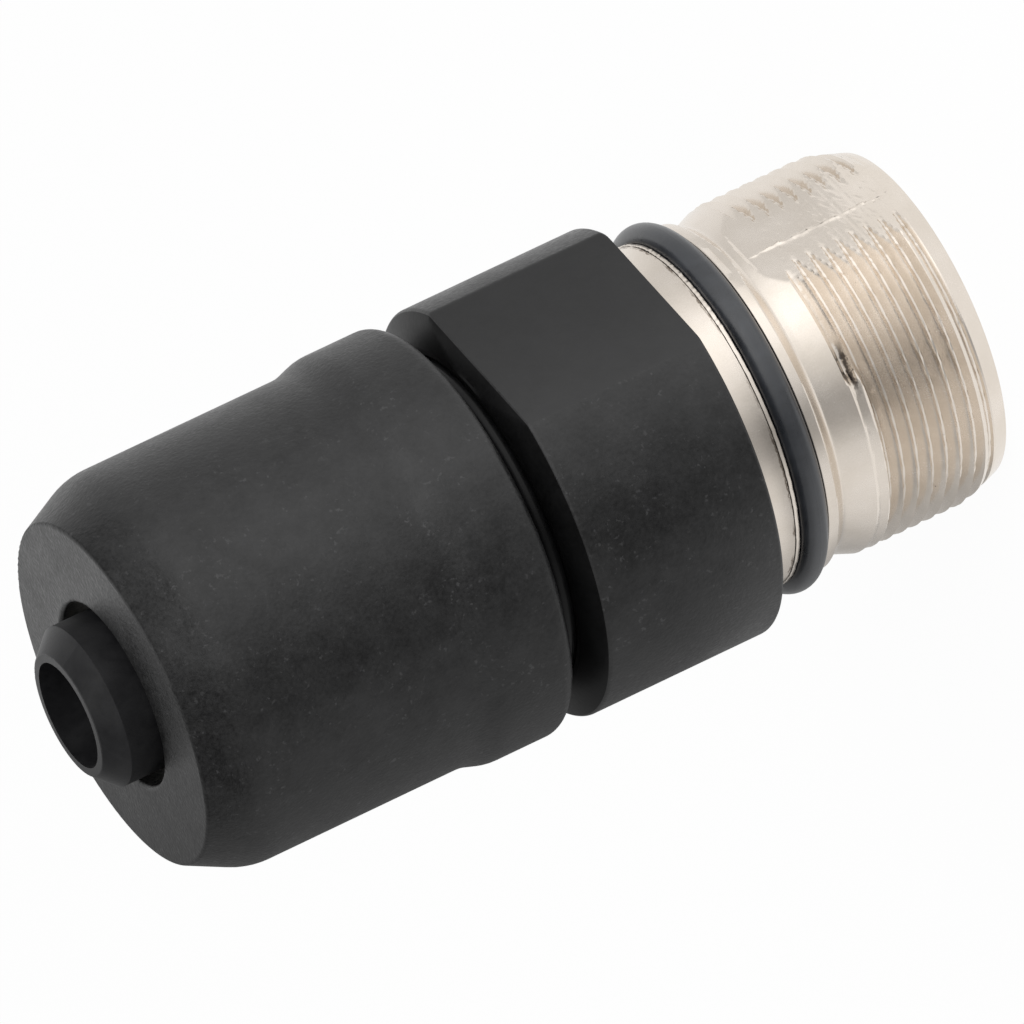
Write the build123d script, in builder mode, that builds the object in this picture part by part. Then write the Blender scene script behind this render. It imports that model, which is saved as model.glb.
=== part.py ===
from build123d import *

import os
from math import cos, pi, sin

# A circular sensor connector with an M23 threaded end and a cable gland.
# It stands on its threaded end: +Z runs from the mouth to the cable entry,
# and the origin is the centre of the mouth's end face. Sizes are millimetres.

os.makedirs("parts", exist_ok=True)

# Fits
running_gap = 0.05  # radial, where a piece turns or slides in another
seat_gap = 0.02  # radial, where pieces are put together once
rest_gap = 0.05  # axial, between the stacked pieces of the gland

# Threaded shell, in order from the mouth. A depth is measured in from the thread's crests.
thread_radius = 11.5
mouth_depth = 0.8
mouth_lead_in = 2.3
thread_length = 9.4
parting_flat_depth = 0.8
ridge_width = 0.25
ridge_height = 0.12
neck_taper = 1.7
neck_depth = 0.7
neck_length = 0.5
neck_round = 0.5
flange_rise = 0.65
flange_depth = 0.1
flange_length = 0.65
rim_depth = 0.2
rim_length = 0.3
rim_cove = 0.4
shank_depth = 0.65
shank_show = 2.07
shank_setback = 1.02  # of the shank's end, below the sleeve's cone
mouth_wall = 1.4
shank_wall = 0.95
socket_shoulder_setback = 0.4
socket_chamfer = 0.4

# O-ring beside the thread
thread_ring_section = 1.78
thread_ring_stand_out = 0.73
ring_play = 0.1

# Body sleeve with its gland spigot
sleeve_wall = 2.53
spanner_flat_depth = 1.38
sleeve_length = 12.18
sleeve_corner = 0.3
end_cone = 0.85
lip_width = 0.35
lip_recess = 0.5
spigot_step = 2.88  # from the sleeve's outside in to the gland thread
spigot_length = 15.1
spigot_wall = 2.2
spigot_chamfer = 0.6

# O-ring at the foot of the spigot
gland_ring_section = 1.5
gland_ring_stand_out = 0.3

# Pin insert and contact holder
insert_plug_length = 3.0
insert_flange_length = 3.0
cup_reach = 9.3
cup_wall = 0.7
key_width = 1.8
key_height = 1.0
holder_length = 6.0

# Contacts
outer_circle_setback = 2.58  # from the cup's wall in to the outer pins
outer_count = 9
inner_circle_share = 0.4  # of the outer circle's radius
inner_count = 3
pin_radius = 0.5
pin_reach = 7.2
pin_tip = 0.3
crimp_radius = 0.75
crimp_reach = 3.0
wire_hole_radius = 0.5
wire_hole_depth = 3.5

# Spacer halves and shield ring
spacer_wall = 1.1
spacer_reach = 8.0
spacer_window_width = 5.0
spacer_window_length = 4.0
spacer_window_corner = 1.0
shield_ring_wall = 4.08
shield_ring_rim = 1.88  # what the flare leaves of the wall
shield_ring_flare = 2.2

# Union nut. Its collar band is flush with the sleeve.
nut_gap = 1.4
collar_band_length = 4.85
collar_blend = 1.6
collar_round = 3.0
collar_step = 0.53  # from the band down to the barrel
nose_length = 3.45
nose_round = 4.5
nose_drop = 1.7  # from the barrel down to the end face
face_corner = 0.3
face_thickness = 2.0
face_width = 5.15  # of the end face, from its edge in to the cable hole
nut_rear_corner = 0.95
nut_relief_depth = 1.6
nut_relief_play = 0.15
nut_step_gap = 0.6
chamber_play = 0.3
clamp_cone_length = 5.0
clamp_cone_play = 0.5

# Clamp basket
basket_plug_length = 3.5
basket_floor = 0.8
basket_floor_width = 2.9
basket_flange_step = 1.1  # from the spigot's outside in to the flange
basket_flange_length = 1.25
basket_wall = 1.0
basket_chamfer = 0.4
crown_length = 8.72  # from the spigot's end to the inside of the nut's face
finger_wall = 1.1
finger_bead = 0.25
finger_bead_length = 1.4
finger_count = 10
finger_slot_width = 1.0
finger_root = 0.6

# Thrust washer and cable seal
washer_thickness = 1.1
washer_step = 0.3  # from the fingers' outside in to the washer's edge
washer_play = 0.2
seal_play = 0.1
seal_neck_play = 0.75  # in the hole of the nut's face
seal_neck_wall = 1.8
seal_reach = 3.0
seal_nose_length = 1.3
seal_nose_taper = 1.25
seal_nose_corner = 0.15

# Heights along the axis, each from the piece below it
neck_z = thread_length + neck_taper
rise_z = neck_z + neck_length
flange_z = rise_z + flange_rise
groove_z = flange_z + flange_length
rim_z = groove_z + thread_ring_section + ring_play
shank_z = rim_z + rim_length
sleeve_z = shank_z + shank_show
cone_z = sleeve_z + sleeve_length
sleeve_shoulder_z = cone_z - shank_setback
lip_z = cone_z + end_cone
undercut_z = lip_z - lip_recess
spigot_thread_z = undercut_z + gland_ring_section + ring_play
spigot_top_z = lip_z + spigot_length
insert_shoulder_z = shank_z + socket_shoulder_setback
insert_face_z = insert_shoulder_z - insert_plug_length
cup_rim_z = insert_face_z - cup_reach
holder_z = insert_shoulder_z + insert_flange_length
holder_top_z = holder_z + holder_length
pin_tip_z = insert_face_z - pin_reach
crimp_top_z = holder_top_z + crimp_reach
spacer_top_z = sleeve_shoulder_z + spacer_reach
nut_z = lip_z + nut_gap
collar_top_z = nut_z + collar_band_length
barrel_z = collar_top_z + collar_blend
nut_inner_face_z = spigot_top_z + crown_length
nut_top_z = nut_inner_face_z + face_thickness
nose_z = nut_top_z - nose_length
clamp_cone_z = nut_inner_face_z - clamp_cone_length
basket_flange_z = spigot_top_z + rest_gap
basket_z = basket_flange_z - basket_plug_length
finger_z = basket_flange_z + basket_flange_length
nut_step_z = finger_z + nut_step_gap
washer_top_z = nut_inner_face_z - rest_gap
washer_z = washer_top_z - washer_thickness
finger_top_z = washer_z - rest_gap
seal_z = basket_z + basket_floor + rest_gap
seal_top_z = nut_top_z + seal_reach

# Radii of the shell and sleeve, each from the one it is stepped from
mouth_radius = thread_radius - mouth_depth
parting_flat = thread_radius - parting_flat_depth
neck_radius = thread_radius - neck_depth
flange_radius = thread_radius - flange_depth
rim_radius = thread_radius - rim_depth
shank_radius = thread_radius - shank_depth
socket_radius = mouth_radius - mouth_wall
insert_seat_radius = shank_radius - shank_wall
sleeve_radius = shank_radius + sleeve_wall
spanner_flat = sleeve_radius - spanner_flat_depth
spigot_radius = sleeve_radius - spigot_step
spigot_bore_radius = spigot_radius - spigot_wall

# Radii that follow from what a piece holds or fits into
thread_groove_radius = flange_radius + thread_ring_stand_out - thread_ring_section - seat_gap
gland_groove_radius = spigot_radius + gland_ring_stand_out - gland_ring_section - seat_gap
gland_ring_outer_radius = spigot_radius + gland_ring_stand_out
lip_inner_radius = gland_ring_outer_radius + running_gap
lip_radius = lip_inner_radius + lip_width
insert_plug_radius = socket_radius - seat_gap
insert_flange_radius = insert_seat_radius - seat_gap
cup_inner_radius = insert_plug_radius - cup_wall
nut_bore_radius = spigot_radius + running_gap
nut_relief_radius = gland_ring_outer_radius + nut_relief_play
spacer_outer_radius = spigot_bore_radius - seat_gap
spacer_inner_radius = spacer_outer_radius - spacer_wall
shield_ring_bore_radius = spacer_outer_radius - shield_ring_wall
shield_ring_mouth_radius = spacer_outer_radius - shield_ring_rim
outer_circle_radius = cup_inner_radius - outer_circle_setback
inner_circle_radius = inner_circle_share * outer_circle_radius
collar_band_radius = sleeve_radius
barrel_radius = collar_band_radius - collar_step
face_radius = barrel_radius - nose_drop
face_hole_radius = face_radius - face_width
basket_plug_radius = spigot_bore_radius - running_gap
basket_bore_radius = spigot_bore_radius - basket_wall
basket_floor_bore_radius = basket_bore_radius - basket_floor_width
basket_flange_radius = spigot_radius - basket_flange_step
finger_radius = basket_bore_radius + finger_wall
seal_neck_radius = face_hole_radius - seal_neck_play
seal_bore_radius = seal_neck_radius - seal_neck_wall
seal_nose_radius = seal_neck_radius - seal_nose_taper
washer_radius = finger_radius - washer_step
chamber_radius = basket_flange_radius + chamber_play
clamp_cone_end_radius = washer_radius + clamp_cone_play

contact_spots = [
    (circle_radius * cos(2 * pi * place / count), circle_radius * sin(2 * pi * place / count))
    for circle_radius, count in (
        (outer_circle_radius, outer_count),
        (inner_circle_radius, inner_count),
    )
    for place in range(count)
]


def closed_outline(*corners):
    """Draw a closed outline through corners of (radius, height, corner rounding)."""
    points = [(radius, height) for radius, height, rounding in corners]
    roundings = [rounding for radius, height, rounding in corners]
    FilletPolyline(*points, radius=roundings, close=True)


def save(piece, name):
    """Label a finished piece and write it as one STEP file."""
    piece.part.label = name
    export_step(piece.part, f"parts/{name}.step")


# Die-cast and plated shell: thread, neck, O-ring groove and the shank in the sleeve
with BuildPart() as threaded_shell:
    with BuildSketch(Plane.XZ):
        with BuildLine():
            closed_outline(
                (socket_radius + socket_chamfer, 0, 0),
                (mouth_radius, 0, 0),
                (thread_radius, mouth_lead_in, 0),
                (thread_radius, thread_length, 0),
                (neck_radius, neck_z, neck_round),
                (neck_radius, rise_z, neck_round),
                (flange_radius, flange_z, 0),
                (flange_radius, groove_z, 0),
                (thread_groove_radius, groove_z, 0),
                (thread_groove_radius, rim_z, 0),
                (rim_radius, rim_z, 0),
                (rim_radius, shank_z, 0),
                (shank_radius, shank_z, 0),
                (shank_radius, sleeve_shoulder_z, 0),
                (insert_seat_radius, sleeve_shoulder_z, 0),
                (insert_seat_radius, insert_shoulder_z, 0),
                (socket_radius, insert_shoulder_z, 0),
                (socket_radius, socket_chamfer, 0),
            )
        make_face()
    revolve(axis=Axis.Z)
    # The cove that leads from the shank into the rim
    rim_foot = edges().filter_by(GeomType.CIRCLE).filter_by_position(Axis.Z, shank_z, shank_z)
    fillet(rim_foot.sort_by(SortBy.RADIUS)[0], rim_cove)
    # The two flats along the mould's parting line
    with BuildSketch():
        Circle(2 * thread_radius)
        Rectangle(2 * parting_flat, 4 * thread_radius, mode=Mode.SUBTRACT)
    extrude(amount=neck_z, mode=Mode.SUBTRACT)
    # The fine ridge that the mould leaves in the middle of each flat
    with BuildSketch(Plane.XY.offset(mouth_lead_in)):
        with Locations((parting_flat, 0), (-parting_flat, 0)):
            Rectangle(2 * ridge_height, ridge_width)
    extrude(amount=thread_length - mouth_lead_in)
save(threaded_shell, "threaded_shell")

# O-ring that seals against the mating connector
with BuildPart() as thread_o_ring:
    with BuildSketch(Plane.XZ):
        with Locations(
            (
                thread_groove_radius + seat_gap + thread_ring_section / 2,
                (groove_z + rim_z) / 2,
            )
        ):
            Circle(thread_ring_section / 2)
    revolve(axis=Axis.Z)
save(thread_o_ring, "thread_o_ring")

# Moulded sleeve: round grip with two spanner flats, and the gland's threaded spigot
with BuildPart() as body_sleeve:
    with BuildSketch(Plane.XZ):
        with BuildLine():
            closed_outline(
                (shank_radius + seat_gap, sleeve_z, 0),
                (sleeve_radius, sleeve_z, sleeve_corner),
                (sleeve_radius, cone_z, sleeve_corner),
                (lip_radius, lip_z, 0),
                (lip_inner_radius, lip_z, 0),
                (lip_inner_radius, undercut_z, 0),
                (gland_groove_radius, undercut_z, 0),
                (gland_groove_radius, spigot_thread_z, 0),
                (spigot_radius, spigot_thread_z, 0),
                (spigot_radius, spigot_top_z - spigot_chamfer, 0),
                (spigot_radius - spigot_chamfer, spigot_top_z, 0),
                (spigot_bore_radius, spigot_top_z, 0),
                (spigot_bore_radius, sleeve_shoulder_z, 0),
                (shank_radius + seat_gap, sleeve_shoulder_z, 0),
            )
        make_face()
    revolve(axis=Axis.Z)
    with BuildSketch(Plane.XY.offset(sleeve_z)):
        Circle(2 * sleeve_radius)
        Rectangle(2 * spanner_flat, 4 * sleeve_radius, mode=Mode.SUBTRACT)
    extrude(amount=lip_z - sleeve_z, mode=Mode.SUBTRACT)
save(body_sleeve, "body_sleeve")

# O-ring at the foot of the spigot, seen in the gap below the nut
with BuildPart() as gland_o_ring:
    with BuildSketch(Plane.XZ):
        with Locations(
            (
                gland_groove_radius + seat_gap + gland_ring_section / 2,
                (undercut_z + spigot_thread_z) / 2,
            )
        ):
            Circle(gland_ring_section / 2)
    revolve(axis=Axis.Z)
save(gland_o_ring, "gland_o_ring")

# Pin insert: a disc that carries the pins, inside a cup with one coding key
with BuildPart() as pin_insert:
    with BuildSketch(Plane.XZ):
        with BuildLine():
            closed_outline(
                (0, insert_face_z, 0),
                (cup_inner_radius, insert_face_z, 0),
                (cup_inner_radius, cup_rim_z, 0),
                (insert_plug_radius, cup_rim_z, 0),
                (insert_plug_radius, insert_shoulder_z, 0),
                (insert_flange_radius, insert_shoulder_z, 0),
                (insert_flange_radius, holder_z, 0),
                (0, holder_z, 0),
            )
        make_face()
    revolve(axis=Axis.Z)
    with BuildSketch(Plane.XY.offset(cup_rim_z)):
        with Locations((cup_inner_radius, 0)):
            Rectangle(2 * key_height, key_width)
        Circle(insert_plug_radius, mode=Mode.INTERSECT)
    extrude(amount=insert_face_z - cup_rim_z)
    with BuildSketch(Plane.XY.offset(insert_face_z)):
        with Locations(*contact_spots):
            Circle(pin_radius + seat_gap)
    extrude(amount=holder_z - insert_face_z, mode=Mode.SUBTRACT)
save(pin_insert, "pin_insert")

# Contact holder behind the insert, drilled for the crimp barrels
with BuildPart() as contact_holder:
    with BuildSketch(Plane.XY.offset(holder_z)):
        Circle(insert_flange_radius)
        with Locations(*contact_spots):
            Circle(crimp_radius + seat_gap, mode=Mode.SUBTRACT)
    extrude(amount=holder_length)
save(contact_holder, "contact_holder")

# Crimp contacts: a pin on a crimp barrel with its wire hole
for number, (x, y) in enumerate(contact_spots, start=1):
    with BuildPart() as contact:
        with BuildSketch(Plane((x, y, pin_tip_z))):
            Circle(pin_radius)
        extrude(amount=holder_z - pin_tip_z)
        chamfer(faces().sort_by(Axis.Z)[0].edges(), pin_tip)
        with BuildSketch(Plane((x, y, holder_z))):
            Circle(crimp_radius)
        extrude(amount=crimp_top_z - holder_z)
        with BuildSketch(Plane((x, y, crimp_top_z))):
            Circle(wire_hole_radius)
        extrude(amount=-wire_hole_depth, mode=Mode.SUBTRACT)
    save(contact, f"contact_{number:02d}")

# Spacer in two halves, which keeps the insert against the shell's shoulder
for name, side in (("spacer_half_a", 1), ("spacer_half_b", -1)):
    with BuildPart() as spacer_half:
        with BuildSketch(Plane(origin=(0, 0, 0), x_dir=(side, 0, 0), z_dir=(0, -side, 0))):
            with BuildLine():
                closed_outline(
                    (spacer_inner_radius, holder_top_z, 0),
                    (insert_flange_radius, holder_top_z, 0),
                    (insert_flange_radius, sleeve_shoulder_z, 0),
                    (spacer_outer_radius, sleeve_shoulder_z, 0),
                    (spacer_outer_radius, spacer_top_z, 0),
                    (spacer_inner_radius, spacer_top_z, 0),
                )
            make_face()
        revolve(axis=Axis.Z, revolution_arc=180)
        with BuildSketch(Plane.XZ):
            with Locations((0, (sleeve_shoulder_z + spacer_top_z) / 2)):
                RectangleRounded(spacer_window_width, spacer_window_length, spacer_window_corner)
        extrude(amount=spigot_bore_radius, both=True, mode=Mode.SUBTRACT)
    save(spacer_half, name)

# Shield ring that the cable's braid folds over, with a flared mouth
shield_ring_top_z = basket_z - rest_gap
with BuildPart() as shield_ring:
    with BuildSketch(Plane.XZ):
        with BuildLine():
            closed_outline(
                (shield_ring_bore_radius, spacer_top_z, 0),
                (spacer_outer_radius, spacer_top_z, 0),
                (spacer_outer_radius, shield_ring_top_z, 0),
                (shield_ring_mouth_radius, shield_ring_top_z, 0),
                (shield_ring_bore_radius, shield_ring_top_z - shield_ring_flare, 0),
            )
        make_face()
    revolve(axis=Axis.Z)
save(shield_ring, "shield_ring")

# Clamp basket: plug and flange on the spigot, and a crown of slotted fingers
bead_z = finger_top_z - finger_bead_length
with BuildPart() as clamp_basket:
    with BuildSketch(Plane.XZ):
        with BuildLine():
            closed_outline(
                (basket_floor_bore_radius, basket_z, 0),
                (basket_plug_radius - basket_chamfer, basket_z, 0),
                (basket_plug_radius, basket_z + basket_chamfer, 0),
                (basket_plug_radius, basket_flange_z, 0),
                (basket_flange_radius, basket_flange_z, 0),
                (basket_flange_radius, finger_z, 0),
                (finger_radius, finger_z, 0),
                (finger_radius, bead_z - finger_bead, 0),
                (finger_radius + finger_bead, bead_z, 0),
                (finger_radius + finger_bead, finger_top_z - 2 * finger_bead, 0),
                (finger_radius - finger_bead, finger_top_z, 0),
                (basket_bore_radius, finger_top_z, 0),
                (basket_bore_radius, basket_z + basket_floor, 0),
                (basket_floor_bore_radius, basket_z + basket_floor, 0),
            )
        make_face()
    revolve(axis=Axis.Z)
    with BuildSketch(Plane.XY.offset(finger_z + finger_root)):
        with PolarLocations(finger_radius, finger_count):
            Rectangle(3 * finger_wall, finger_slot_width)
    extrude(amount=finger_top_z - finger_z, mode=Mode.SUBTRACT)
save(clamp_basket, "clamp_basket")

# Cable seal: the sleeve in the basket, and the nozzle that shows through the nut
with BuildPart() as cable_seal:
    with BuildSketch(Plane.XZ):
        with BuildLine():
            closed_outline(
                (seal_bore_radius, seal_z, 0),
                (basket_bore_radius - seal_play, seal_z, 0),
                (basket_bore_radius - seal_play, finger_top_z, 0),
                (seal_neck_radius, finger_top_z, 0),
                (seal_neck_radius, seal_top_z - seal_nose_length, 0),
                (seal_nose_radius, seal_top_z, seal_nose_corner),
                (seal_bore_radius, seal_top_z, 0),
            )
        make_face()
    revolve(axis=Axis.Z)
save(cable_seal, "cable_seal")

# Thrust washer, so that the nut turns without dragging the seal
with BuildPart() as thrust_washer:
    with BuildSketch(Plane.XY.offset(washer_z)):
        Circle(washer_radius)
        Circle(seal_neck_radius + washer_play, mode=Mode.SUBTRACT)
    extrude(amount=washer_thickness)
save(thrust_washer, "thrust_washer")

# Union nut: collar band, long barrel and coned nose round the cable hole
with BuildPart() as union_nut:
    with BuildSketch(Plane.XZ):
        with BuildLine():
            closed_outline(
                (nut_relief_radius, nut_z, 0),
                (collar_band_radius, nut_z, nut_rear_corner),
                (collar_band_radius, collar_top_z, collar_round),
                (barrel_radius, barrel_z, collar_round),
                (barrel_radius, nose_z, nose_round),
                (face_radius, nut_top_z, face_corner),
                (face_hole_radius, nut_top_z, face_corner),
                (face_hole_radius, nut_inner_face_z, 0),
                (clamp_cone_end_radius, nut_inner_face_z, 0),
                (chamber_radius, clamp_cone_z, 0),
                (chamber_radius, nut_step_z, 0),
                (nut_bore_radius, nut_step_z, 0),
                (nut_bore_radius, nut_z + nut_relief_depth, 0),
                (nut_relief_radius, nut_z + nut_relief_depth, 0),
            )
        make_face()
    revolve(axis=Axis.Z)
save(union_nut, "union_nut")
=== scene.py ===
"""Looks for the circular sensor connector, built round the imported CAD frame.

The connector stands on its threaded mouth and +Z runs to the cable entry. Lengths are
millimetres until MM turns them into metres. The camera looks from 18.5 degrees above the
horizon and is rolled, because the photograph shows the connector lying aslant.
"""

import math

import bmesh
import bpy
import numpy as np
from mathutils import Matrix, Vector


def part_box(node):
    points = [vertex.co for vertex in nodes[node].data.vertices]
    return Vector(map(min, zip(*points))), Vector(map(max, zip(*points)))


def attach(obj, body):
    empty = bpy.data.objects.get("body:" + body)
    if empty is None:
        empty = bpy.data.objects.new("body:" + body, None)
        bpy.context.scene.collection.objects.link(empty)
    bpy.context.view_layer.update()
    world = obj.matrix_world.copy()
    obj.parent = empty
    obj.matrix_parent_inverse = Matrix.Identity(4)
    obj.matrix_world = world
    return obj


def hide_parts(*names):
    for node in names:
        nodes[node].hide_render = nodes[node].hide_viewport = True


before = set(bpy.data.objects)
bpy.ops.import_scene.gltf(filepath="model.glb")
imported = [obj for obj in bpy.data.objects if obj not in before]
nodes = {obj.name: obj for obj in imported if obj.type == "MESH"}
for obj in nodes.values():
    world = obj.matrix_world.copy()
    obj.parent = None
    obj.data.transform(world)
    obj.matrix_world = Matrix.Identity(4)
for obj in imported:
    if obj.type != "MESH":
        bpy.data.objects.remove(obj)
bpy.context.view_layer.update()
MM = 0.001
TURN = 2 * math.pi

# ---------------------------------------------------------------- viewing directions
FACING = math.radians(-43)  # azimuth of the side that faces the camera, from +X
TILT = math.radians(18.525)
ROLL = math.radians(25.35)
PICTURE_PX = 1024
FOCAL_PX = 30000.0
PX_PER_MM = 16.7  # at the aim point
AIM_UP, AIM_ALONG, AIM_ACROSS = 28.16, 0.165, 0.362
toward = Vector((math.cos(FACING), math.sin(FACING), 0))
up_axis = Vector((0, 0, 1))
across = toward.cross(up_axis)
along = math.sin(TILT) * toward - math.cos(TILT) * up_axis
back = math.cos(TILT) * toward + math.sin(TILT) * up_axis


def heading(azimuth, elevation):
    """Unit vector at an azimuth from the camera's side, positive to the right, and an elevation."""
    a, e = math.radians(azimuth), math.radians(elevation)
    level = math.cos(a) * toward + math.sin(a) * across
    return math.cos(e) * level + math.sin(e) * up_axis


# ---------------------------------------------------------------- mesh helpers
WELD = 2e-8  # metres
FLAT_SIDES = (0, 180)  # azimuths of the middles of the flats, in degrees
FLAT_REACH = 1.2  # radians from its middle within which a flat is drawn
FINE_STEP = 0.5  # degrees between points near a flat


def low(node):
    return [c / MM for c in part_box(node)[0]]


def high(node):
    return [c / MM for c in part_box(node)[1]]


def linked_object(name, points, faces):
    """Mesh object in the scene, from points in metres."""
    mesh = bpy.data.meshes.new(name)
    mesh.from_pydata(points, [], faces)
    obj = bpy.data.objects.new(name, mesh)
    bpy.context.scene.collection.objects.link(obj)
    return obj


class Grid:
    """Collects strips of quads into one list of points and faces."""

    def __init__(self):
        self.strips, self.faces, self.count = [], [], 0

    def strip(self, radius, height, angles):
        """radius and height are rows by columns, and the columns stand at the angles."""
        rows, columns = radius.shape
        x, y = radius * np.cos(angles), radius * np.sin(angles)
        self.strips.append(np.stack([x, y, height], -1).reshape(-1, 3))
        for row in range(rows - 1):
            for column in range(columns - 1):
                a = self.count + row * columns + column
                self.faces.append((a, a + 1, a + columns + 1, a + columns))
        self.count += rows * columns

    def make(self, name, sharp_deg):
        """Mesh object of the strips, welded, with outward normals."""
        points = [tuple(p) for p in np.concatenate(self.strips) * MM]
        obj = linked_object(name, points, self.faces)
        mesh = obj.data
        bm = bmesh.new()
        bm.from_mesh(mesh)
        bmesh.ops.remove_doubles(bm, verts=bm.verts, dist=WELD)
        bmesh.ops.dissolve_degenerate(bm, edges=bm.edges, dist=WELD)
        loose = [v for v in bm.verts if not v.link_faces]
        bmesh.ops.delete(bm, geom=loose, context="VERTS")
        bmesh.ops.recalc_face_normals(bm, faces=bm.faces)
        bm.to_mesh(mesh)
        bm.free()
        mesh.polygons.foreach_set("use_smooth", [True] * len(mesh.polygons))
        mesh.set_sharp_from_angle(angle=math.radians(sharp_deg))
        return obj


def flat_marks(count, fine_half):
    """Azimuths in degrees, count to a turn, and FINE_STEP apart within fine_half of a flat's middle."""
    marks = set(np.round(np.linspace(0, 360, count, endpoint=False), 4))
    for centre in FLAT_SIDES:
        lo, hi = centre - fine_half, centre + fine_half
        marks = {m for m in marks if not any(lo < m + turn < hi for turn in (-360, 0, 360))}
        steps = round(2 * fine_half / FINE_STEP)
        marks |= {round((lo + 2 * fine_half * i / steps) % 360, 4) for i in range(steps + 1)}
    return marks


def full_circle(marks):
    """The marks in radians, in order, with a whole turn as the last."""
    return np.append(np.radians(np.array(sorted(marks))), TURN)


def rounded(corners, segments):
    """Points (radius, height) of an outline through corners of (radius, height, rounding)."""
    out = []
    points = [np.array(corner[:2], float) for corner in corners]
    for i, p in enumerate(points):
        rounding = corners[i][2]
        if not rounding:
            out.append(p)
            continue
        a, b = points[i - 1], points[i + 1]
        u, v = (a - p) / np.linalg.norm(a - p), (b - p) / np.linalg.norm(b - p)
        half = math.acos(float(u @ v)) / 2
        cut = rounding / math.tan(half)
        centre = p + (u + v) / np.linalg.norm(u + v) * rounding / math.sin(half)
        s, e = p + u * cut - centre, p + v * cut - centre
        total = math.atan2(s[0] * e[1] - s[1] * e[0], float(s @ e))
        for k in range(segments + 1):
            t = total * k / segments
            out.append(centre + np.array([s[0] * math.cos(t) - s[1] * math.sin(t),
                                          s[0] * math.sin(t) + s[1] * math.cos(t)]))
    return np.array(out)


def rings(profile, angles):
    """Radii and heights, rows by columns, of a profile that is turned through the angles."""
    radius, height = np.array(profile, float).T
    return tuple(np.repeat(value[:, None], len(angles), axis=1) for value in (radius, height))


def helix_heights(turns, phases, pitch, span, angles):
    """Heights of rows that climb one pitch in a turn, clamped to the zone's two end circles."""
    levels = np.array([(turn + phase) * pitch for turn in turns for phase in phases])
    return np.clip(levels[:, None] + angles[None, :] / TURN * pitch, *span)


def soft_step(a, b, x):
    """0 before a, 1 after b, with a smooth rise between."""
    t = np.clip((x - a) / (b - a), 0, 1)
    return t * t * (3 - 2 * t)


def window(rise, fall, x):
    """1 between a rise and a fall, each given by its two ends."""
    return soft_step(*rise, x) * (1 - soft_step(*fall, x))


def blended(a, b, width, sign):
    """The larger (sign 1) or smaller (sign -1) of two values, with a rounded change-over."""
    return (a + b) / 2 + sign * np.sqrt(((a - b) / 2) ** 2 + width ** 2)


def wobble(x, seed, waves):
    """Smooth noise, about -1 to 1: a sum of waves with fixed strengths and phases."""
    rng = np.random.RandomState(seed)
    total = np.zeros_like(x, dtype=float)
    for w in waves:
        total += rng.uniform(0.5, 1.0) * np.sin(w * x + rng.uniform(0, TURN))
    return total / math.sqrt(len(waves))


def from_flat(angles):
    """Angle from the middle of the nearer flat."""
    return ((angles / math.pi + 0.5) % 1.0 - 0.5) * math.pi


def flat_plane(distance, angles):
    """Radius of a plane at a distance from the axis, seen at angles from its middle."""
    return distance / np.cos(np.minimum(np.abs(angles), FLAT_REACH))


# ---------------------------------------------------------------- threaded shell
CREST = high("threaded_shell")[1]
THREAD_DEPTH = 0.64
ROOT = CREST - THREAD_DEPTH
PITCH = 1.0
ROOT_FROM, ROOT_TO = 0.44, 0.57  # shares of the pitch between which the root lies
THREAD_ROWS = (0.0, 0.11, 0.22, 0.33, ROOT_FROM, 0.505, ROOT_TO, 0.68, 0.79, 0.90)
MOUTH = 10.7
LEAD_IN = 2.3
RUN_OUT = 9.4
RUN_OUT_FROM, RUN_OUT_TO = RUN_OUT - 0.3, RUN_OUT + 0.6
TAPER_SLOPE = 0.412  # from the run-out to the neck
FLARE_SLOPE = 0.923  # from the neck to the flange
NECK_ROUND = 0.19
FLANGE_R = 11.4
FLANGE_Z = 12.25
FLARE_END = 11.4
LAST_TURN = math.radians(-55)  # where the last turn of the groove breaks off, from +X
BREAK_EDGE = (-0.12, 0.02)  # radians over which the groove ends there
BREAK_REACH = 1.9
BREAK_RISE = (8.3, 8.7)
BREAK_FILL = 0.75  # share of the groove that is filled
SCAR_TURN = LAST_TURN + 0.10  # middle of the torn place
SCAR_Z = 9.05
SCAR_LONG, SCAR_HIGH = 0.13, 0.17  # radians and millimetres
SCAR_DEPTH, SCAR_ROUGH = 0.28, 0.10
CREST_ROUGH, ROOT_BEADS = 0.030, 0.022
ROUGH_FROM = 1.0
FLAT = 10.7
FLAT_TURN = math.radians(2.6)  # the flats don't face quite square to the parting line
FLAT_LIFT, FLAT_LIFT_RISE = 0.35, (10.6, 11.35)
RIDGE_HEIGHT = 0.13
RIDGE_SHIFT = 0.075
RIDGE_WIDTH, RIDGE_SWELL = 0.085, 0.075
RIDGE_STEPS = (0.2, 0.35, 0.65, 0.8, 1.25)  # degrees from its middle
# (radius, height, rounding): flange, O-ring groove and rim, then the shank and the inside
RIM_PROFILE = (
    (FLANGE_R, FLANGE_Z, 0), (FLANGE_R, 12.9, 0.12), (10.33, 12.9, 0.1), (10.33, 14.78, 0.1),
    (11.3, 14.78, 0.06), (11.3, 15.08, 0.07), (11.16, 15.10, 0))
BORE_PROFILE = (
    (10.85, 16.7, 0), (10.85, 28.31, 0.15), (9.9, 28.31, 0.05), (9.9, 15.48, 0.02), (9.3, 15.48, 0.05),
    (9.3, 0.4, 0.06), (9.7, 0, 0), (10.2, 0, 0), (MOUTH, 0, 0))
COVE_R, COVE_Z = 10.85, 15.10
COVE_DEPTH, COVE_LENGTH, COVE_POWER = 0.31, 1.5, 2.6
RIM_R, RIM_Z = 11.2, 14.7  # beyond these lies the rim's edge
RIM_ROUGH, RIM_WAVE = 0.04, 0.010


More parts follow.
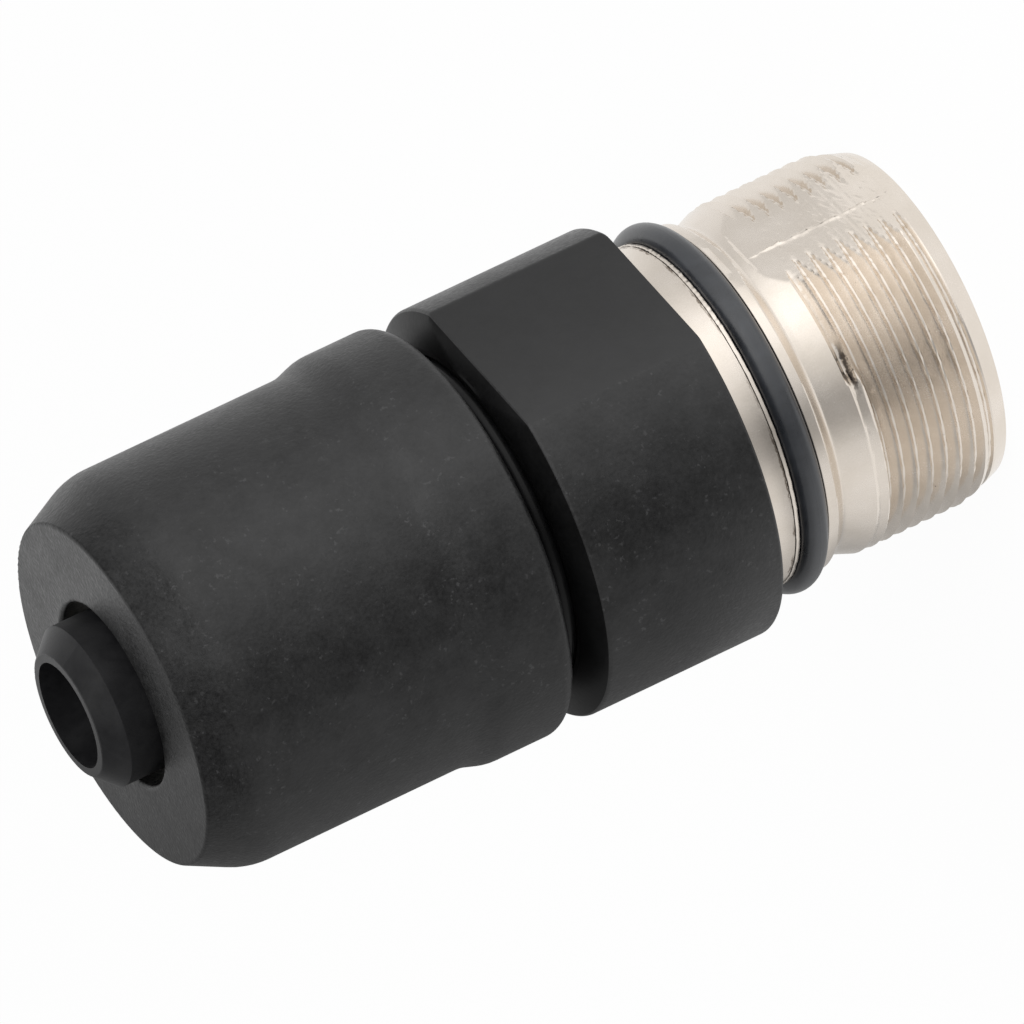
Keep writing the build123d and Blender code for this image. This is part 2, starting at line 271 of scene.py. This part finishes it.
def thread_depth(phase):
    """Share of the full depth at a phase of the pitch: 0 on the crest, 1 in the root."""
    return np.interp(phase % 1.0, (0, ROOT_FROM, ROOT_TO, 1), (0, 1, 1, 0))


def shell_outside(angles, heights):
    """Outer radius from the mouth to the flange: helix, lead-in, run-out, neck, flats and ridges."""
    fade = 1 - soft_step(RUN_OUT_FROM, RUN_OUT_TO, heights)
    past = (angles - LAST_TURN + math.pi) % TURN - math.pi
    broken = soft_step(*BREAK_EDGE, -past) * (np.abs(past) < BREAK_REACH)
    fade = fade * (1 - BREAK_FILL * (broken * soft_step(*BREAK_RISE, heights)))
    thread = CREST - (CREST - ROOT) * thread_depth(heights / PITCH - angles / TURN) * fade
    lead = MOUTH + (CREST - MOUTH) * heights / LEAD_IN
    taper = CREST - TAPER_SLOPE * (heights - RUN_OUT)
    flare = FLANGE_R - FLARE_SLOPE * (FLANGE_Z - heights)
    neck = blended(taper, flare, NECK_ROUND, 1)
    outer = np.minimum(np.minimum(thread, lead), np.minimum(neck, CREST))
    outer = np.where(heights > FLARE_END, np.minimum(outer, FLANGE_R), outer)
    side = from_flat(angles)
    plane = flat_plane(FLAT + FLAT_LIFT * soft_step(*FLAT_LIFT_RISE, heights), side - FLAT_TURN)
    # the flash on the parting line is uneven in height and width
    shift = side * FLAT - RIDGE_SHIFT * wobble(heights, 21, (2.1, 5.3, 9.7))
    swell = 0.62 + 0.38 * wobble(heights, 22, (1.3, 3.1, 6.7))
    wide = RIDGE_WIDTH + RIDGE_SWELL * window((2.0, 4.5), (7.5, 9.5), heights)
    ends = window((0.6, 2.2), (10.2, 10.9), heights)
    ridge = RIDGE_HEIGHT * swell * np.exp(-(shift / wide) ** 2) * ends
    return np.where(np.abs(side) < FLAT_REACH, np.minimum(outer, plane), outer) + ridge


def build_shell():
    marks = flat_marks(210, 23)
    for centre in FLAT_SIDES:
        for step in RIDGE_STEPS:
            marks |= {round((centre + step) % 360, 4), round((centre - step) % 360, 4)}
    full = full_circle(marks)
    grid = Grid()
    height = helix_heights(range(-2, 14), THREAD_ROWS, PITCH, (0, FLANGE_Z), full)
    turn = np.broadcast_to(full[None, :], height.shape)
    radius = shell_outside(turn, height)
    # a cast, plated crest is never quite even
    depth = thread_depth(height / PITCH - turn / TURN)
    rough = CREST_ROUGH * np.abs(wobble(turn + 0.37 * height, 5, (31, 47, 83, 120))) * (depth < 0.1)
    beads = ROOT_BEADS * wobble(1.3 * turn - 0.21 * height, 6, (37, 59, 97, 139)) * (depth > 0.98)
    radius = radius + (beads - rough) * ((height > ROUGH_FROM) & (height < RUN_OUT))
    # the torn end of the last turn
    torn_round = np.exp(-((turn - TURN - SCAR_TURN) / SCAR_LONG) ** 2)
    torn = torn_round * np.exp(-((height - SCAR_Z) / SCAR_HIGH) ** 2)
    radius = radius - torn * (SCAR_DEPTH + SCAR_ROUGH * wobble(turn + height, 7, (67, 101, 151)))
    grid.strip(radius, height, full)
    # flange, groove, rim, cove and shank, then the inside back to the mouth
    cove = [(COVE_R + COVE_DEPTH * (1 - s) ** COVE_POWER, COVE_Z + COVE_LENGTH * s)
            for s in np.linspace(0.04, 1, 14)]
    profile = np.concatenate([rounded(RIM_PROFILE, 5), cove, rounded(BORE_PROFILE, 5)])
    radius, height = rings(profile, full)
    radius[0] = shell_outside(full, height[0])
    # the rim keeps a rough cast edge
    edge = 0.5 * wobble(full, 11, (17, 41, 73, 97, 131)) + 0.5 * wobble(full, 12, (149, 181, 211))
    rim = (profile[:, 0] > RIM_R) & (profile[:, 1] > RIM_Z)
    radius[rim] = radius[rim] - RIM_ROUGH + RIM_ROUGH * edge
    height[rim] += RIM_WAVE * wobble(full, 13, (23, 59, 101, 163))
    grid.strip(radius, height, full)
    return grid.make("shell_threaded", sharp_deg=26)


shell = build_shell()
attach(shell, "housing")
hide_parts("threaded_shell")

# ---------------------------------------------------------------- body sleeve
SLEEVE_LOW = low("body_sleeve")[2]
SPIGOT_TOP = high("body_sleeve")[2]
SLEEVE_R = high("body_sleeve")[1]
GRIP_FLAT = high("body_sleeve")[0]
SPIGOT_R = 10.5
SPIGOT_ROOT = 9.85
SPIGOT_FOOT = 31.28
SPIGOT_PITCH = 1.5
SPIGOT_ROWS = (0.0, 0.10, 0.30, 0.50, 0.60, 0.80)
SPIGOT_LEAD = 0.9  # over which the thread rises from its foot
SPIGOT_CHAMFER = 0.6
LIP_R = 11.2
LIP_TOP = 30.18
CONE_DROP = 0.85  # from the lip's corner to the grip
CONE_LEVELS = (0.75, 0.6, 0.45, 0.3, 0.15)
FLAT_END = 29.30  # above it each flat leans in, to end in a straight line
FLAT_EDGE = 0.012
FLAT_OUTSIDE = 11.25
SLEEVE_PROFILE = (
    (10.87, SLEEVE_LOW, 0), (SLEEVE_R, SLEEVE_LOW, 0.3), (SLEEVE_R, 23.0, 0), (SLEEVE_R, 29.33, 0.3),
    (LIP_R, LIP_TOP, 0.05), (10.85, LIP_TOP, 0.05), (10.85, 29.68, 0), (9.28, 29.68, 0.1),
    (9.28, SPIGOT_FOOT, 0.05), (SPIGOT_ROOT, SPIGOT_FOOT, 0))
SLEEVE_INSIDE = (
    (SPIGOT_R - SPIGOT_CHAMFER, SPIGOT_TOP), (8.3, SPIGOT_TOP), (8.3, 28.31),
    (10.87, 28.31), (10.87, SLEEVE_LOW))


def build_sleeve():
    """Grip with two flats, each with a small chamfer at the nut's end, and the spigot with its thread."""
    full = full_circle(flat_marks(240, 29))
    side = from_flat(full)
    grid = Grid()
    outside = rounded(SLEEVE_PROFILE, 6)
    cone = [(LIP_R + (SLEEVE_R - LIP_R) * s, LIP_TOP - CONE_DROP * s) for s in CONE_LEVELS]
    corner = int(np.argmax(outside[:, 1] > LIP_TOP - 0.08))
    outside = np.concatenate([outside[:corner], cone, outside[corner:]])
    radius, height = rings(outside, full)
    for row, (r, z) in enumerate(outside):
        if r > FLAT_OUTSIDE:
            plane = flat_plane(GRIP_FLAT - max(0, z - FLAT_END), side)
            cut = blended(plane, radius[row], FLAT_EDGE, -1)
            radius[row] = np.where(np.abs(side) < FLAT_REACH, cut, radius[row])
    grid.strip(radius, height, full)
    # thread of the gland
    turns = range(int(SPIGOT_FOOT / SPIGOT_PITCH) - 2, int(SPIGOT_TOP / SPIGOT_PITCH) + 2)
    height = helix_heights(turns, SPIGOT_ROWS, SPIGOT_PITCH, (SPIGOT_FOOT, SPIGOT_TOP), full)
    phase = (height / SPIGOT_PITCH - full[None, :] / TURN) % 1.0
    depth = np.interp(phase, (0, 0.10, 0.50, 0.60, 1), (0, 0, 1, 1, 0))
    start = soft_step(SPIGOT_FOOT, SPIGOT_FOOT + SPIGOT_LEAD, height)
    radius = SPIGOT_R - (SPIGOT_R - SPIGOT_ROOT) * np.maximum(depth, 1 - start)
    radius = np.minimum(radius, SPIGOT_R - SPIGOT_CHAMFER + (SPIGOT_TOP - height))
    # the last circle meets the end face
    radius = np.where(height > SPIGOT_TOP - 1e-6, SPIGOT_R - SPIGOT_CHAMFER, radius)
    grid.strip(radius, height, full)
    grid.strip(*rings(SLEEVE_INSIDE, full), full)
    return grid.make("sleeve_moulding", sharp_deg=24)


sleeve = build_sleeve()
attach(sleeve, "housing")
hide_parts("body_sleeve")


# ---------------------------------------------------------------- materials
class Tree:
    """Short calls for node trees."""

    def __init__(self, tree):
        self.tree = tree

    def node(self, kind, **values):
        n = self.tree.nodes.new(kind)
        for key, value in values.items():
            setattr(n, key, value)
        return n

    def link(self, a, b):
        self.tree.links.new(a, b)

    def place(self):
        """Object position in millimetres."""
        coord = self.node("ShaderNodeTexCoord")
        scale = self.node("ShaderNodeVectorMath", operation="SCALE")
        scale.inputs["Scale"].default_value = 1 / MM
        self.link(coord.outputs["Object"], scale.inputs[0])
        return scale.outputs[0]

    def noise(self, where, scale, detail, rough=0.5, warp=0.0):
        n = self.node("ShaderNodeTexNoise")
        n.inputs["Scale"].default_value = scale
        n.inputs["Detail"].default_value = detail
        n.inputs["Roughness"].default_value = rough
        n.inputs["Distortion"].default_value = warp
        self.link(where, n.inputs["Vector"])
        return n.outputs["Fac"]

    def spots(self, where, scale):
        n = self.node("ShaderNodeTexVoronoi", feature="F1")
        n.inputs["Scale"].default_value = scale
        self.link(where, n.inputs["Vector"])
        return n.outputs["Distance"]

    def span(self, value, a, b, c, d, smooth=False):
        """Maps a..b to c..d, clamped."""
        n = self.node("ShaderNodeMapRange", clamp=True)
        if smooth:
            n.interpolation_type = "SMOOTHSTEP"
        self.link(value, n.inputs["Value"])
        for key, number in (("From Min", a), ("From Max", b), ("To Min", c), ("To Max", d)):
            n.inputs[key].default_value = number
        return n.outputs["Result"]

    def math(self, kind, *values):
        n = self.node("ShaderNodeMath", operation=kind)
        for socket, value in zip(n.inputs, values):
            if isinstance(value, (int, float)):
                socket.default_value = value
            else:
                self.link(value, socket)
        return n.outputs[0]

    def weighted(self, *pairs):
        """Sum of values, each given with its weight."""
        total, *others = (self.math("MULTIPLY", value, weight) for value, weight in pairs)
        for term in others:
            total = self.math("ADD", total, term)
        return total

    def mix(self, factor, a, b):
        n = self.node("ShaderNodeMix", data_type="RGBA")
        self.link(factor, n.inputs[0])
        for socket, value in ((n.inputs[6], a), (n.inputs[7], b)):
            if isinstance(value, tuple):
                socket.default_value = (*value, 1)
            else:
                self.link(value, socket)
        return n.outputs[2]

    def parts(self, where):
        n = self.node("ShaderNodeSeparateXYZ")
        self.link(where, n.inputs[0])
        return n.outputs

    def bump(self, height, depth_mm):
        n = self.node("ShaderNodeBump")
        n.inputs["Strength"].default_value = 1.0
        n.inputs["Distance"].default_value = depth_mm * MM
        self.link(height, n.inputs["Height"])
        return n.outputs["Normal"]


def new_material(name):
    material = bpy.data.materials.new(name)
    material.use_nodes = True
    return material, Tree(material.node_tree), material.node_tree.nodes["Principled BSDF"]


PIT = (0.16, 0.14, 0.12)
# painted shade: the colour and height of a dark ragged line in the crease under the rim
RIM_SHADE_COLOUR = (0.13, 0.09, 0.06)
RIM_SHADE_Z = 15.14  # under the rim
BURNT = (0.07, 0.06, 0.055)
FLECK = (0.042, 0.042, 0.043)


def add_rim_shade_and_scar(t, where, colour):
    """The colour with a painted shade line in the crease under the rim, and burnt metal in the torn end
    of the thread.
    """
    x, y, z = t.parts(where)

    def ragged(scale, reach):
        """Height above the mouth, made uneven."""
        uneven = t.math("SUBTRACT", t.noise(where, scale, 3, 0.7), 0.5)
        return t.math("ADD", z, t.math("MULTIPLY", uneven, reach))

    def within(value, inner, outer):
        """1 within inner of zero, 0 past outer."""
        return t.span(t.math("ABSOLUTE", value), inner, outer, 1, 0)

    # painted shade: a dark, ragged, broken line where the rim meets the shank
    line = within(t.math("SUBTRACT", ragged(3.0, 0.30), RIM_SHADE_Z), 0.02, 0.08)
    line = t.math("MULTIPLY", line, t.span(t.noise(where, 0.5, 2), 0.44, 0.58, 0, 0.8))
    colour = t.mix(line, colour, RIM_SHADE_COLOUR)
    tangent = t.weighted((y, math.cos(SCAR_TURN)), (x, -math.sin(SCAR_TURN)))
    outward = t.weighted((x, math.cos(SCAR_TURN)), (y, math.sin(SCAR_TURN)))
    tall = within(t.math("SUBTRACT", ragged(4.0, 0.5), SCAR_Z), 0.06, 0.16)
    scar = t.math("MULTIPLY", tall, within(tangent, 0.9, 1.9))
    return t.mix(t.math("MULTIPLY", scar, t.span(outward, 8, 9, 0, 0.9)), colour, BURNT)


def nickel(name, colour, dark, roughness, rim_shade_and_scar=False):
    """Satin nickel over a die-cast or turned surface."""
    material, t, shader = new_material(name)
    where = t.place()
    broad = t.noise(where, 0.35, 3, 0.55)
    fine = t.noise(where, 9.0, 3, 0.6)
    tone = t.span(t.weighted((broad, 0.7), (fine, 0.3)), 0.35, 0.65, 0, 1)
    pits = t.span(t.spots(where, 1.1), 0.03, 0.075, 1, 0)
    rare = t.span(t.noise(where, 0.9, 2), 0.60, 0.66, 0, 1)
    colour_out = t.mix(t.math("MULTIPLY", pits, rare), t.mix(tone, dark, colour), PIT)
    # the shell's nickel also gets the painted shade line under the rim and the burnt scar
    if rim_shade_and_scar:
        colour_out = add_rim_shade_and_scar(t, where, colour_out)
    t.link(colour_out, shader.inputs["Base Color"])
    shader.inputs["Metallic"].default_value = 1.0
    t.link(t.span(t.weighted((broad, 0.5), (fine, 0.5)), 0.3, 0.7, roughness - 0.06, roughness + 0.08),
           shader.inputs["Roughness"])
    grain = t.weighted((t.noise(where, 1.6, 3), 0.9), (fine, 0.1))
    t.link(t.bump(grain, 0.010), shader.inputs["Normal"])
    return material


def moulded(name, colour, pale, roughness, grain_mm, grain_depth, specular=0.5, mottle=1.0):
    """Black moulded plastic: spark-eroded grain, faint clouds and pale specks."""
    material, t, shader = new_material(name)
    where = t.place()
    clouds = t.noise(where, 0.30, 4, 0.6, 0.4)
    patches = t.noise(where, 1.1, 3, 0.6)
    grain = t.noise(where, 1.0 / grain_mm, 2, 0.65)
    cells = t.spots(where, 0.8 / grain_mm)
    tone = t.span(t.weighted((clouds, 0.45), (patches, 0.25), (grain, 0.30)), 0.38, 0.62, 0, 1)
    colour_out = t.mix(tone, colour, pale)
    if mottle:
        dots = t.span(t.noise(where, 3.1, 2, 0.55), 0.62, 0.70, 0, 1)
        chosen = t.span(t.noise(where, 0.55, 2), 0.44, 0.60, 0, 0.8 * mottle)
        colour_out = t.mix(t.math("MULTIPLY", dots, chosen), colour_out, FLECK)
    t.link(colour_out, shader.inputs["Base Color"])
    spread = 0.09 * max(mottle, 0.4)
    uneven = t.weighted((clouds, 0.45), (grain, 0.55))
    t.link(t.span(uneven, 0.34, 0.66, roughness - spread, roughness + spread), shader.inputs["Roughness"])
    shader.inputs["Specular IOR Level"].default_value = specular
    t.link(t.bump(t.weighted((grain, 0.65), (cells, 0.35)), grain_depth), shader.inputs["Normal"])
    return material


def rubber(name, colour, pale, roughness, specular=0.5):
    """Smooth moulded rubber with a faint bloom."""
    material, t, shader = new_material(name)
    where = t.place()
    bloom = t.noise(where, 0.5, 4, 0.65, 0.5)
    fine = t.noise(where, 7.0, 3, 0.6)
    t.link(t.mix(t.span(bloom, 0.38, 0.68, 0, 1), colour, pale), shader.inputs["Base Color"])
    t.link(t.span(t.weighted((bloom, 0.6), (fine, 0.4)), 0.3, 0.7, roughness - 0.06, roughness + 0.08),
           shader.inputs["Roughness"])
    shader.inputs["Specular IOR Level"].default_value = specular
    t.link(t.bump(fine, 0.006), shader.inputs["Normal"])
    return material


def gold(name, colour, pale):
    """Turned brass with a gold flash and fine rings from the lathe."""
    material, t, shader = new_material(name)
    where = t.place()
    x, y, z = t.parts(where)
    tone = t.noise(where, 2.0, 2)
    rings_cut = t.math("SINE", t.math("MULTIPLY", z, 60.0))
    t.link(t.mix(t.span(tone, 0.35, 0.65, 0, 1), colour, pale), shader.inputs["Base Color"])
    shader.inputs["Metallic"].default_value = 1.0
    t.link(t.span(tone, 0.3, 0.7, 0.16, 0.30), shader.inputs["Roughness"])
    t.link(t.bump(rings_cut, 0.0004), shader.inputs["Normal"])
    return material


NICKEL = nickel("satin_nickel", (0.82, 0.75, 0.675), (0.74, 0.67, 0.59), 0.23, rim_shade_and_scar=True)
SHIELD = nickel("bright_nickel", (0.78, 0.75, 0.70), (0.68, 0.65, 0.60), 0.22)
NUT = moulded("nut_polyamide", (0.004, 0.004, 0.0041), (0.018, 0.018, 0.0183), 0.42, 0.24, 0.034)
SLEEVE = moulded("sleeve_polyamide", (0.004, 0.004, 0.0041), (0.017, 0.017, 0.0173), 0.40, 0.26, 0.030)
SLEEVE_FLAT = moulded("sleeve_flats", (0.007, 0.007, 0.0072), (0.012, 0.012, 0.0123), 0.38, 0.30, 0.004,
                      mottle=0)
# painted shade: a darker, duller copy of the sleeve plastic for its end in the gap by the nut
SLEEVE_END_SHADED = moulded("sleeve_end_painted_shade", (0.004, 0.004, 0.0041), (0.008, 0.008, 0.0082), 0.36, 0.30, 0.004,
                     specular=0.10, mottle=0)
BASKET = moulded("basket_polyamide", (0.020, 0.020, 0.022), (0.034, 0.034, 0.036), 0.45, 0.25, 0.012)
INSERT = moulded("insert_polyester", (0.030, 0.032, 0.034), (0.050, 0.052, 0.055), 0.42, 0.30, 0.010)
WASHER = moulded("washer_acetal", (0.62, 0.60, 0.55), (0.74, 0.72, 0.67), 0.38, 0.30, 0.008)
RING = rubber("ring_rubber", (0.016, 0.018, 0.022), (0.028, 0.031, 0.037), 0.30, 0.78)
SEAL = rubber("seal_rubber", (0.008, 0.008, 0.009), (0.016, 0.016, 0.017), 0.44, 0.36)
GLAND = rubber("gland_ring_rubber", (0.006, 0.006, 0.0063), (0.010, 0.010, 0.0104), 0.30, 0.22)
GOLD = gold("contact_gold", (0.80, 0.56, 0.22), (0.92, 0.70, 0.34))

LOOKS = {
    "threaded_shell": NICKEL, "thread_o_ring": RING, "gland_o_ring": GLAND, "body_sleeve": SLEEVE,
    "pin_insert": INSERT, "contact_holder": INSERT, "spacer_half_a": INSERT, "spacer_half_b": INSERT,
    "shield_ring": SHIELD, "clamp_basket": BASKET, "cable_seal": SEAL, "thrust_washer": WASHER,
    "union_nut": NUT,
}
for name, node in nodes.items():
    node.data.materials.clear()
    node.data.materials.append(LOOKS.get(name, GOLD))  # only the contacts aren't listed
shell.data.materials.append(NICKEL)
for material in (SLEEVE, SLEEVE_FLAT, SLEEVE_END_SHADED):
    sleeve.data.materials.append(material)
# faces above this height take the darker copy, as painted shade in the gap between sleeve and nut
SHADED_END_FROM = 29.36
FLAT_NORMAL = 0.9985
for polygon in sleeve.data.polygons:
    centre = polygon.center / MM
    if centre.z > SHADED_END_FROM:
        polygon.material_index = 2
    elif abs(polygon.normal.x) > FLAT_NORMAL and abs(centre.x) > GRIP_FLAT - 0.03:
        polygon.material_index = 1


# ---------------------------------------------------------------- floor and world
def background_share(t):
    """1 for rays that show the background: camera, glossy and transmission rays."""
    path = t.node("ShaderNodeLightPath")
    seen = t.math("MAXIMUM", path.outputs["Is Camera Ray"], path.outputs["Is Glossy Ray"])
    return t.math("MAXIMUM", seen, path.outputs["Is Transmission Ray"])


def circle_points(radius, heights, sides):
    """Points round the axis, one for each of the heights at each of the sides."""
    return [(radius * math.cos(TURN * i / sides), radius * math.sin(TURN * i / sides), height)
            for i in range(sides) for height in heights]


FLOOR_RADIUS = 3.0  # metres
FLOOR_Z = -0.00004
FLOOR_SIDES = 96
FLOOR_COLOUR = (0.90, 0.90, 0.90)
FLOOR_GLOW = 0.95  # share of plain white in what shows the background
WORLD_LIGHT = 0.60  # what lights the object, against 1 where the background shows

floor_points = circle_points(FLOOR_RADIUS, (FLOOR_Z,), FLOOR_SIDES)
floor = linked_object("floor", floor_points, [list(range(FLOOR_SIDES))])
material, t, shader = new_material("floor_paper")
shader.inputs["Base Color"].default_value = (*FLOOR_COLOUR, 1)
shader.inputs["Roughness"].default_value = 0.9
shader.inputs["Specular IOR Level"].default_value = 0.1
glow = t.node("ShaderNodeEmission")
glow.inputs["Color"].default_value = (1, 1, 1, 1)
glow.inputs["Strength"].default_value = 1.0
blend = t.node("ShaderNodeMixShader")
t.link(t.math("MULTIPLY", background_share(t), FLOOR_GLOW), blend.inputs[0])
t.link(shader.outputs[0], blend.inputs[1])
t.link(glow.outputs[0], blend.inputs[2])
t.link(blend.outputs[0], t.tree.nodes["Material Output"].inputs["Surface"])
floor.data.materials.append(material)

world = bpy.data.worlds.new("studio")
bpy.context.scene.world = world
world.use_nodes = True
t = Tree(world.node_tree)
ground = world.node_tree.nodes["Background"]
ground.inputs["Color"].default_value = (1, 1, 1, 1)
strength = t.math("ADD", t.math("MULTIPLY", background_share(t), 1 - WORLD_LIGHT), WORLD_LIGHT)
t.link(strength, ground.inputs["Strength"])

# ---------------------------------------------------------------- glowing card for painted reflections
# A glowing card round the object, no lamp, seen only in its reflections: it paints the reflections on the
# object. Each stop is the angle on the object's side, from the camera's side and positive to the right,
# that mirrors a brightness.
CARD_RADIUS = 20.0
CARD_TOP = 110.0
CARD_SIDES = 120
MIRROR_RADIUS = 11.3  # of the surface whose reflections the stops are meant for
CARD_STOPS = ((-88, 1.0), (-75, 0.95), (-62, 0.85), (-50, 0.74), (-40, 0.84), (-32, 1.08), (-22, 1.38),
              (-14, 1.30), (-5, 1.02), (3, 0.74), (12, 0.40), (20, 0.44), (30, 0.80), (42, 0.90),
              (55, 0.80), (67, 0.56), (78, 0.42), (88, 0.62))
CARD_PEAK = 1.4
CARD_BACK = 1.0  # behind the object, where the face is mirrored
NOSE_SHADE, NOSE_RISE, NOSE_FRONT = 0.93, (55.0, 61.0), 8.0  # darker high up and in front
RIGHT_SHADE, ROUND_SHADE, SHADE_RISE = 0.33, 0.07, (13.5, 20.5)  # darker above the mouth
RIGHT_SIDE = (-12, 20)


def card_turn(side):
    """Place round the card, 0 to 1, where the mirrored ray from this side of the object meets it."""
    p = math.radians(side)
    px, py = MIRROR_RADIUS * math.cos(p), MIRROR_RADIUS * math.sin(p)
    dx, dy = math.cos(2 * p), math.sin(2 * p)
    along_ray = px * dx + py * dy
    reach = -along_ray + math.sqrt(along_ray ** 2 + CARD_RADIUS ** 2 - MIRROR_RADIUS ** 2)
    return math.degrees(math.atan2(py + reach * dy, px + reach * dx)) / 360 + 0.5


card_points = circle_points(CARD_RADIUS * MM, (0.0, CARD_TOP * MM), CARD_SIDES)
card_faces = []
for i in range(CARD_SIDES):
    j = (i + 1) % CARD_SIDES
    card_faces.append((2 * i, 2 * j, 2 * j + 1, 2 * i + 1))
card = linked_object("reflection_card", card_points, card_faces)
for ray in ("camera", "diffuse", "transmission", "shadow", "volume_scatter"):
    setattr(card, "visible_" + ray, False)
material, t, shader = new_material("reflection_card")
t.tree.nodes.remove(shader)
x, y, z = t.parts(t.place())
ahead = t.weighted((x, toward.x), (y, toward.y))
aside = t.weighted((x, across.x), (y, across.y))
turn = t.math("ADD", t.math("DIVIDE", t.math("ARCTAN2", aside, ahead), TURN), 0.5)
ramp = t.node("ShaderNodeValToRGB")
stops = ramp.color_ramp.elements
stops[0].position, stops[1].position = 0.0, 1.0
stops[0].color = stops[1].color = (CARD_BACK / CARD_PEAK,) * 3 + (1,)
for side, level in CARD_STOPS:
    stops.new(card_turn(side)).color = (level / CARD_PEAK,) * 3 + (1,)
t.link(turn, ramp.inputs["Fac"])
light = t.node("ShaderNodeEmission")
# painted shade in the reflections: the card is darker high up in front, where the nut's nose mirrors it,
# and above the mouth, most on the right
nose_shade = t.math("MULTIPLY", t.span(z, *NOSE_RISE, 0, NOSE_SHADE, True),
                    t.span(ahead, -NOSE_FRONT, NOSE_FRONT, 0, 1, True))
right_side = t.span(turn, *(card_turn(side) for side in RIGHT_SIDE), 0, 1, True)
right_shade = t.math("MULTIPLY", t.span(z, *SHADE_RISE, 0, 1, True),
                     t.math("ADD", t.math("MULTIPLY", right_side, RIGHT_SHADE), ROUND_SHADE))
shade = t.math("MULTIPLY", t.math("SUBTRACT", 1.0, nose_shade), t.math("SUBTRACT", 1.0, right_shade))
t.link(t.math("MULTIPLY", shade, CARD_PEAK), light.inputs["Strength"])
t.link(ramp.outputs["Color"], light.inputs["Color"])
t.link(light.outputs[0], t.tree.nodes["Material Output"].inputs["Surface"])
card.data.materials.append(material)

# ---------------------------------------------------------------- lamp and camera
LAMP_AZIMUTH, LAMP_ELEVATION = -25, 48
LAMP_DISTANCE = 0.60  # metres, as are the next two
LAMP_SIZE = 0.50
LAMP_AIM = 0.028
LAMP_WATTS = 2.2

lamp_data = bpy.data.lights.new("key", "AREA")
lamp_data.shape = "RECTANGLE"
lamp_data.size = lamp_data.size_y = LAMP_SIZE
lamp_data.energy = LAMP_WATTS
lamp = bpy.data.objects.new("key", lamp_data)
way = heading(LAMP_AZIMUTH, LAMP_ELEVATION)
lamp.location = Vector((0, 0, LAMP_AIM)) + way * LAMP_DISTANCE
lamp.rotation_mode = "QUATERNION"
lamp.rotation_quaternion = (-way).to_track_quat("-Z", "Y")
bpy.context.scene.collection.objects.link(lamp)

SENSOR_MM = 36.0
camera_data = bpy.data.cameras.new("camera")
camera = bpy.data.objects.new("camera", camera_data)
bpy.context.scene.collection.objects.link(camera)
bpy.context.scene.camera = camera
camera_data.sensor_width = SENSOR_MM
camera_data.lens = SENSOR_MM * FOCAL_PX / PICTURE_PX
camera_data.clip_start = 0.05
camera_data.clip_end = 20.0
aim = (up_axis * AIM_UP - along * AIM_ALONG + across * AIM_ACROSS) * MM
right = math.cos(ROLL) * along + math.sin(ROLL) * across
up = math.sin(ROLL) * along - math.cos(ROLL) * across
facing = Matrix((right, up, back)).transposed()
camera.matrix_world = Matrix.Translation(aim + back * (FOCAL_PX / PX_PER_MM * MM)) @ facing.to_4x4()

bpy.context.scene.view_settings.view_transform = "Standard"
